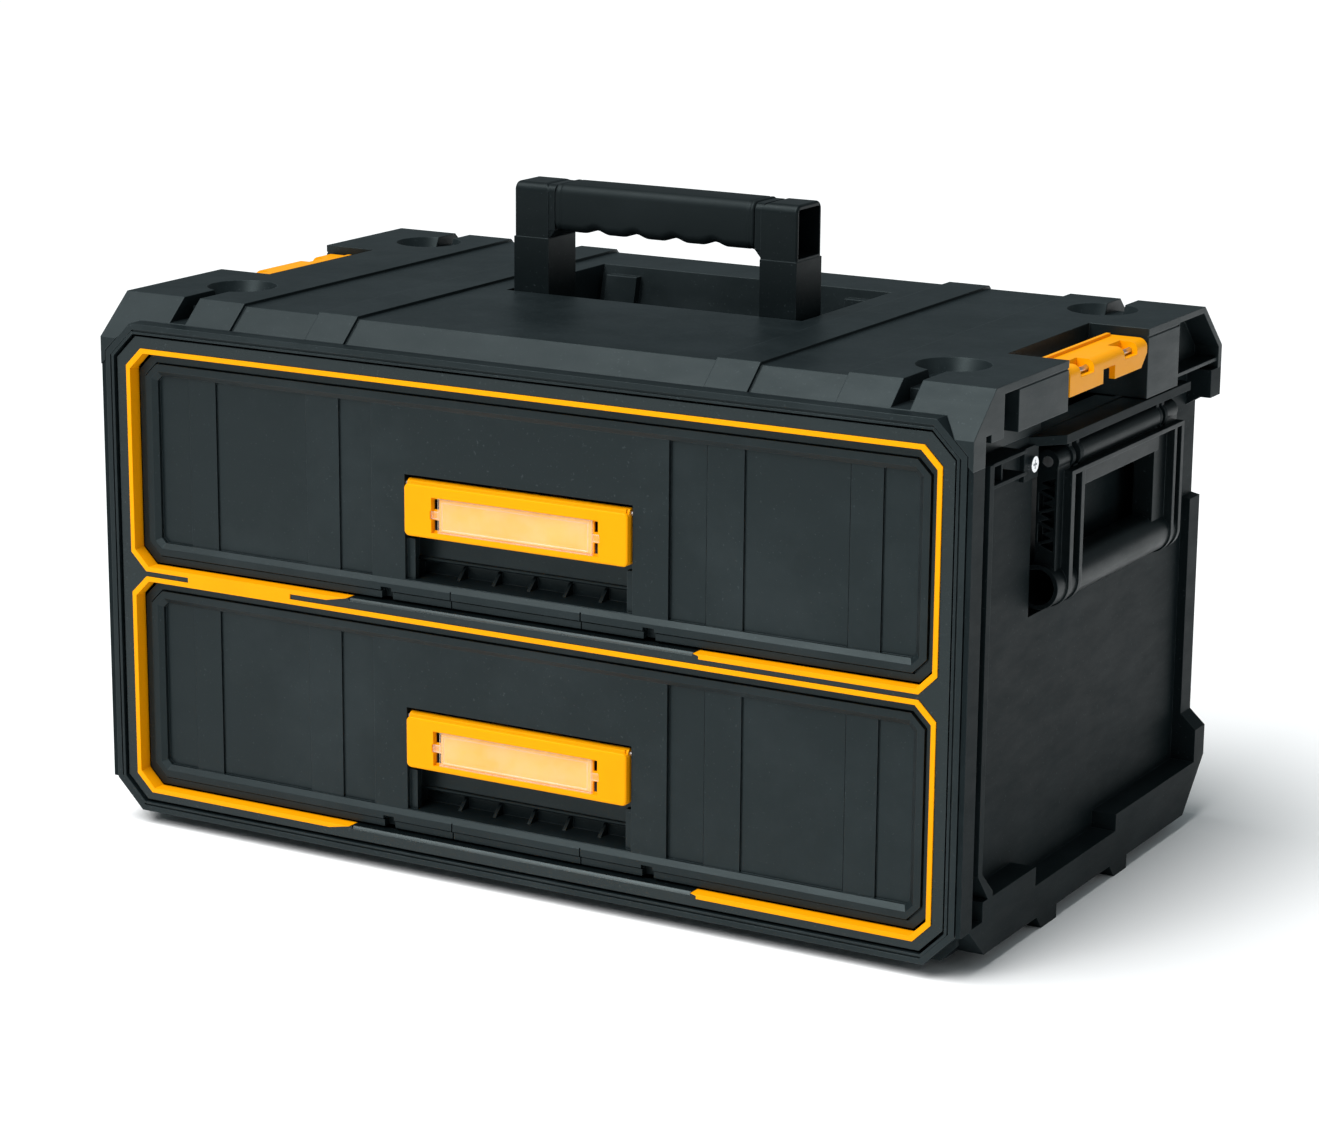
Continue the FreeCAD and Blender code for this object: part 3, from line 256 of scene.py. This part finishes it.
# ---------------------------------------------------------------- kinds of material
def plastic(name, base, pale, rough, grain=1500, grain_depth=0.00006, grain_strength=0.3,
            edge=0.0005, wear_and_highlight=None, specular=0.26, sheen=SHEEN):
    """Moulded plastic: pebble grain, slow mottling in colour and gloss, soft edges lightened partly by
    rubbing and partly by a painted highlight.
    """
    g = Graph(name)
    cloud = g.spread(g.noise(*MOTTLE), *MOTTLE_SPAN, 0, 1)
    fine = g.noise(grain, *PEBBLE_DETAIL)
    scuff = g.noise(*SCUFF, stretch=SCUFF_STRETCH)
    edges = g.soft_edges(edge)
    colour = g.mix(cloud, base, pale)
    if wear_and_highlight:
        # edges take the wear colour: partly rubbed wear, partly a painted highlight along each edge
        rub_and_highlight = g.combine("MULTIPLY", g.edge_share(edges, *RUB_AND_HIGHLIGHT_LEAN),
                        g.spread(scuff, *RUB_AND_HIGHLIGHT_SPAN, *RUB_AND_HIGHLIGHT_STRENGTH))
        colour = g.mix(rub_and_highlight, colour, wear_and_highlight)
        specks = g.spread(g.noise(*SPECK), *SPECK_SPAN, 0, SPECK_STRENGTH)
        colour = g.mix(specks, colour, wear_and_highlight)
    g.link(colour, g.shader.inputs["Base Color"])
    smoother, rougher = SCUFF_GLOSS
    gloss = g.combine("ADD", g.spread(scuff, *SCUFF_SPAN, rough + smoother, rough + rougher),
                      g.spread(cloud, 0, 1, *MOTTLE_GLOSS))
    g.link(gloss, g.shader.inputs["Roughness"])
    g.shader.inputs["Specular IOR Level"].default_value = specular
    g.shader.inputs["Specular Tint"].default_value = (*sheen, 1)
    g.link(g.bump(fine, grain_strength, grain_depth, edges), g.shader.inputs["Normal"])
    return g.material


def metal(name, colour, dull, rough, brush=(1, 1, 1)):
    """Plated metal with faint brushing and small dull spots."""
    g = Graph(name)
    spots = g.spread(g.noise(*SPOT), *SPOT_SPAN, 0, 1)
    lines = g.noise(*BRUSHING, stretch=brush)
    g.link(g.mix(spots, colour, dull), g.shader.inputs["Base Color"])
    g.shader.inputs["Metallic"].default_value = 1
    smoother, rougher = BRUSHING_GLOSS
    g.link(g.spread(lines, *BRUSHING_SPAN, rough + smoother, rough + rougher), g.shader.inputs["Roughness"])
    g.link(g.bump(lines, BRUSHING_STRENGTH, BRUSHING_DEPTH, g.soft_edges(METAL_EDGE)),
           g.shader.inputs["Normal"])
    return g.material


def paper(name, base, pale):
    """The card behind the cover: fibres and a slow change of tone."""
    g = Graph(name)
    cloud = g.spread(g.noise(*TONE), *TONE_SPAN, 0, 1)
    fibre = g.noise(*FIBRE, stretch=FIBRE_STRETCH)
    g.link(g.mix(cloud, base, pale), g.shader.inputs["Base Color"])
    g.link(g.spread(fibre, *FIBRE_SPAN, *FIBRE_GLOSS), g.shader.inputs["Roughness"])
    g.link(g.bump(fibre, FIBRE_STRENGTH, FIBRE_DEPTH), g.shader.inputs["Normal"])
    return g.material


def clear(name):
    """Clear polycarbonate with faint haze, milky where its edges and border turn."""
    g = Graph(name)
    haze = g.noise(*HAZE)
    edges = g.soft_edges(COVER_EDGE)
    g.shader.inputs["Base Color"].default_value = (*COVER, 1)
    body = g.spread(haze, *HAZE_SPAN, *HAZE_ALPHA)
    milky = g.spread(g.edge_share(edges, *MILKY_LEAN), 0, 1, 0, COVER_EDGE_ALPHA)
    g.link(g.combine("ADD", body, milky), g.shader.inputs["Alpha"])
    g.link(g.spread(haze, *HAZE_SPAN, *HAZE_GLOSS), g.shader.inputs["Roughness"])
    g.link(g.bump(haze, HAZE_STRENGTH, HAZE_DEPTH, edges), g.shader.inputs["Normal"])
    return g.material


# ---------------------------------------------------------------- finishes and the nodes that get them
FINISHES = {
    "housing": plastic("housing_plastic", CHARCOAL, CHARCOAL_PALE, rough=0.56, wear_and_highlight=WEAR_AND_EDGE_HIGHLIGHT, edge=0.0005,
                       specular=0.09),
    "deck": plastic("deck_plastic", CHARCOAL, CHARCOAL_PALE, rough=0.47, wear_and_highlight=WEAR_AND_EDGE_HIGHLIGHT, edge=0.0007),
    "collar": plastic("collar_plastic", CHARCOAL, CHARCOAL_PALE, rough=0.40, wear_and_highlight=WEAR_AND_EDGE_HIGHLIGHT, edge=0.0005),
    "bezel": plastic("bezel_plastic", BLACK, CHARCOAL, rough=0.30, wear_and_highlight=WEAR_AND_EDGE_HIGHLIGHT, edge=0.0005, specular=0.4),
    "front": plastic("drawer_front_plastic", CHARCOAL, CHARCOAL_PALE, rough=0.40, wear_and_highlight=WEAR_AND_EDGE_HIGHLIGHT, edge=0.0004),
    "tray": plastic("drawer_tray_plastic", CHARCOAL, CHARCOAL_PALE, rough=0.5, grain=900, edge=0.0006),
    "handle": plastic("handle_plastic", BLACK, CHARCOAL, rough=0.42, wear_and_highlight=WEAR_AND_EDGE_HIGHLIGHT, edge=0.0006, specular=0.18),
    "rubber": plastic("grip_rubber", BLACK, RUBBER, rough=0.55, grain=2600, grain_depth=0.00008,
                      grain_strength=0.5, edge=0.0003, specular=0.22),
    "yellow": plastic("yellow_plastic", YELLOW, YELLOW_DEEP, rough=0.40, grain=1800, grain_strength=0.12,
                      edge=0.0005, specular=0.14, sheen=SHEEN_YELLOW),
    "nylon": plastic("nylon", NYLON, NYLON_PALE, rough=0.45, grain=1500, edge=0.0003, sheen=WHITE),
    "steel": metal("zinc_plated_steel", STEEL, STEEL_DULL, rough=0.34, brush=(1, 0.05, 1)),
    "chrome": metal("polished_screw", CHROME, CHROME_DULL, rough=0.16),
    "card": paper("label_paper", CARD, CARD_PALE),
    "clear": clear("clear_cover"),
}

FINISH_BY_NAME = {
    "housing": "housing",
    "top_deck": "deck",
    "front_collar": "collar",
    "front_bezel": "bezel",
    "mid_rail": "bezel",
    "front_trim": "yellow",
    "top_handle_frame": "handle",
    "top_handle_grip": "rubber",
    "side_screws": "chrome",
}
FINISH_BY_ENDING = {
    "_drawer_front": "front",
    "_drawer_tray": "tray",
    "_dividers": "tray",
    "_side_handle": "handle",
    "_stack_latch": "yellow",
    "_paddle": "yellow",
    "_label_card": "card",
    "_label_cover": "clear",
    "_latch_bolt": "nylon",
}


def finish_of(node):
    """Which finish a CAD node gets, by what it is. Whatever isn't moulded or paper is steel."""
    if node in FINISH_BY_NAME:
        return FINISH_BY_NAME[node]
    for ending, finish in FINISH_BY_ENDING.items():
        if node.endswith(ending):
            return finish
    return "steel"


for name, node in NODES.items():
    node.data.materials.clear()
    node.data.materials.append(FINISHES[finish_of(name)])


# ---------------------------------------------------------------- finer pieces
def add_piece(name, points, faces, finish, body, replaced):
    """Links a mesh as a piece of the object, in place of the CAD node that it stands for."""
    mesh = bpy.data.meshes.new(name)
    mesh.from_pydata(points, [], faces)
    mesh.update()
    for face in mesh.polygons:
        face.use_smooth = True
    mesh.materials.append(FINISHES[finish])
    piece = bpy.data.objects.new(name, mesh)
    bpy.context.scene.collection.objects.link(piece)
    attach(piece, body)
    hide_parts(replaced)


def ring_faces(rings, count):
    """Quads between neighbouring rings of count points, the last ring joined to the first."""
    faces = []
    for ring in range(rings):
        here = ring * count
        there = (ring + 1) % rings * count
        for index in range(count):
            after = (index + 1) % count
            faces.append((here + index, here + after, there + after, there + index))
    return faces


def rounded_section(half_y, half_z, radius, per_corner):
    """Points round a rounded rectangle, as (y, z)."""
    section = []
    for corner, (side_y, side_z) in enumerate(((1, 1), (-1, 1), (-1, -1), (1, -1))):
        for step in range(per_corner):
            angle = math.radians(90 * (corner + step / (per_corner - 1)))
            section.append((side_y * (half_y - radius) + radius * math.cos(angle),
                            side_z * (half_z - radius) + radius * math.sin(angle)))
    return section


def finger_grooves(x):
    """Height of the underside's hollows at x: four grooves, blended into the ridges between."""
    height = 0
    for place in GROOVE_PLACES:
        share = abs(x - place * GROOVE_PITCH) / GROOVE_HALF
        if share < 1:
            height += GROOVE_DEPTH * (0.5 + 0.5 * math.cos(math.pi * share))
    return height


def handle_grip():
    """The soft sleeve: crowned along its length, grooved for fingers, with a groove near each end."""
    low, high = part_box("top_handle_grip")
    middle = (low + high) / 2
    half_x = (high.x - low.x) / 2
    half_y = (high.y - low.y) / 2
    half_z = (high.z - low.z) / 2
    points = []
    for station in range(GRIP_STATIONS):
        along = -1 + 2 * station / (GRIP_STATIONS - 1)
        x = along * half_x
        from_end = half_x - abs(x)
        inset = GRIP_CROWN * along * along
        if abs(from_end - PARTING) < PARTING_HALF:
            inset += PARTING_DEPTH
        inset += max(0, GRIP_LIP - from_end) * GRIP_LIP_SLOPE
        for y, z in rounded_section(half_y - inset, half_z - inset, GRIP_ROUND, GRIP_CORNER):
            lift = finger_grooves(x) if z < 0 else 0
            under = min(1, max(0, -z / (half_z - GRIP_ROUND)))
            points.append((middle.x + x, middle.y + y, middle.z + z + lift * under))
    for x in (half_x, -half_x):
        for y, z in rounded_section(half_y - GRIP_WALL, half_z - GRIP_WALL, GRIP_BORE_ROUND, GRIP_CORNER):
            points.append((middle.x + x, middle.y + y, middle.z + z))
    section_points = 4 * GRIP_CORNER
    faces = ring_faces(GRIP_STATIONS + 2, section_points)
    add_piece("grip_sleeve", points, faces, "rubber", "top_handle", "top_handle_grip")


def coil_path(centre, half_length, radius, back):
    """The spring's centre line: close turns along x, then a leg back to the recess's wall."""
    path = []
    steps = COIL_TURNS * COIL_STEPS
    for step in range(steps + 1):
        angle = 2 * math.pi * step / COIL_STEPS + math.radians(COIL_START)
        x = centre.x - half_length + 2 * half_length * step / steps
        path.append(Vector((x, centre.y + radius * math.cos(angle), centre.z + radius * math.sin(angle))))
    last = path[-1]
    for share in LEG_SHARES:
        path.append(Vector((last.x, last.y + (back - last.y) * share, last.z)))
    return path


def wire_mesh(path, radius, sides):
    """A round wire along a path, closed at both ends."""
    points = []
    faces = []
    for index, place in enumerate(path):
        ahead = path[min(index + 1, len(path) - 1)] - path[max(index - 1, 0)]
        ahead.normalize()
        across = ahead.cross(Vector((1, 0, 0))).normalized()
        over = ahead.cross(across)
        for side in range(sides):
            angle = 2 * math.pi * side / sides
            points.append(place + radius * (math.cos(angle) * across + math.sin(angle) * over))
    for index in range(len(path) - 1):
        for side in range(sides):
            after = (side + 1) % sides
            here = index * sides
            faces.append((here + side, here + sides + side, here + sides + after, here + after))
    faces.append(tuple(range(sides)))
    faces.append(tuple(reversed(range((len(path) - 1) * sides, len(path) * sides))))
    return points, faces


def paddle_spring(drawer):
    """The coil that closes a paddle, wound from round wire."""
    pin_low, pin_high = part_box(drawer + "_paddle_pin")
    low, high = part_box(drawer + "_paddle_spring")
    centre = (pin_low + pin_high) / 2
    centre.x = (low.x + high.x) / 2
    half_length = (high.x - low.x) / 2 - 2 * WIRE
    radius = (pin_high.z - pin_low.z) / 2 + COIL_CLEARANCE + WIRE
    path = coil_path(centre, half_length, radius, high.y - WIRE)
    points, faces = wire_mesh(path, WIRE, WIRE_SIDES)
    add_piece(drawer + "_coil_spring", points, faces, "steel", drawer + "_drawer",
              drawer + "_paddle_spring")


handle_grip()
for drawer in ("upper", "lower"):
    paddle_spring(drawer)


# ---------------------------------------------------------------- floor
def floor_finish():
    """Matt studio floor with a very faint change of tone."""
    g = Graph("studio_floor")
    cloud = g.spread(g.noise(*FLOOR_CLOUD), *FLOOR_CLOUD_SPAN, 0, 1)
    g.link(g.mix(cloud, FLOOR, FLOOR_PALE), g.shader.inputs["Base Color"])
    g.shader.inputs["Roughness"].default_value = FLOOR_ROUGHNESS
    g.shader.inputs["Specular IOR Level"].default_value = FLOOR_SPECULAR
    return g.material


floor_mesh = bpy.data.meshes.new("floor")
floor_shape = bmesh.new()
bmesh.ops.create_grid(floor_shape, x_segments=2, y_segments=2, size=FLOOR_HALF)
floor_shape.to_mesh(floor_mesh)
floor_shape.free()
floor = bpy.data.objects.new("floor", floor_mesh)
bpy.context.scene.collection.objects.link(floor)
floor_mesh.materials.append(floor_finish())

# ---------------------------------------------------------------- light
# The surroundings light the object dimly, and look white behind it.
world = bpy.data.worlds.new("studio")
bpy.context.scene.world = world
world.use_nodes = True
world_nodes = world.node_tree.nodes
world_links = world.node_tree.links
background = world_nodes["Background"]
seen = world_nodes.new("ShaderNodeLightPath")
brightness = world_nodes.new("ShaderNodeMapRange")
brightness.inputs["To Min"].default_value = FILL
brightness.inputs["To Max"].default_value = BACKDROP
world_links.new(seen.outputs["Is Camera Ray"], brightness.inputs["Value"])
world_links.new(brightness.outputs["Result"], background.inputs["Strength"])
tone = world_nodes.new("ShaderNodeMix")
tone.data_type = "RGBA"
tone.inputs[MIX_FIRST].default_value = (*FILL_COLOUR, 1)
tone.inputs[MIX_SECOND].default_value = (*WHITE, 1)
world_links.new(seen.outputs["Is Camera Ray"], tone.inputs["Factor"])
world_links.new(tone.outputs[MIX_RESULT], background.inputs["Color"])


def area_light(name, place, size, power):
    """A rectangular lamp, aimed at the box."""
    lamp = bpy.data.lights.new(name, "AREA")
    lamp.shape = "RECTANGLE"
    lamp.size, lamp.size_y = size
    lamp.energy = power
    holder = bpy.data.objects.new(name, lamp)
    holder.location = place
    aim = Vector(LIT_POINT) - Vector(place)
    holder.rotation_euler = aim.to_track_quat("-Z", "Y").to_euler()
    bpy.context.scene.collection.objects.link(holder)


area_light("key", place=(-0.35, -2.5, 2.1), size=(1.5, 1.0), power=38)
area_light("side", place=(2.6, -0.2, 1.2), size=(1.0, 1.4), power=4)

sky = bpy.data.lights.new("sky", "SUN")
sky.energy = SKY_POWER
sky.angle = math.radians(SKY_SPREAD)
sky_holder = bpy.data.objects.new("sky", sky)
sky_holder.rotation_euler = Vector(SKY_AIM).to_track_quat("-Z", "Y").to_euler()
bpy.context.scene.collection.objects.link(sky_holder)

# ---------------------------------------------------------------- camera
azimuth = math.radians(CAMERA_AZIMUTH)
elevation = math.radians(CAMERA_ELEVATION)
back = Vector((math.sin(azimuth) * math.cos(elevation), -math.cos(azimuth) * math.cos(elevation),
               math.sin(elevation)))
camera_data = bpy.data.cameras.new("camera")
camera_data.sensor_fit = "AUTO"
camera_data.sensor_width = SENSOR
camera_data.lens = FOCAL_SHARE * SENSOR
camera_data.clip_start = 0.05
camera_data.clip_end = 100
camera = bpy.data.objects.new("camera", camera_data)
camera.location = CAMERA_PLACE
camera.rotation_mode = "QUATERNION"
turn = (-back).to_track_quat("-Z", "Y")
roll = Quaternion((0, 0, 1), math.radians(CAMERA_ROLL))
camera.rotation_quaternion = turn @ roll
bpy.context.scene.collection.objects.link(camera)
bpy.context.scene.camera = camera

bpy.context.scene.view_settings.view_transform = "Standard"
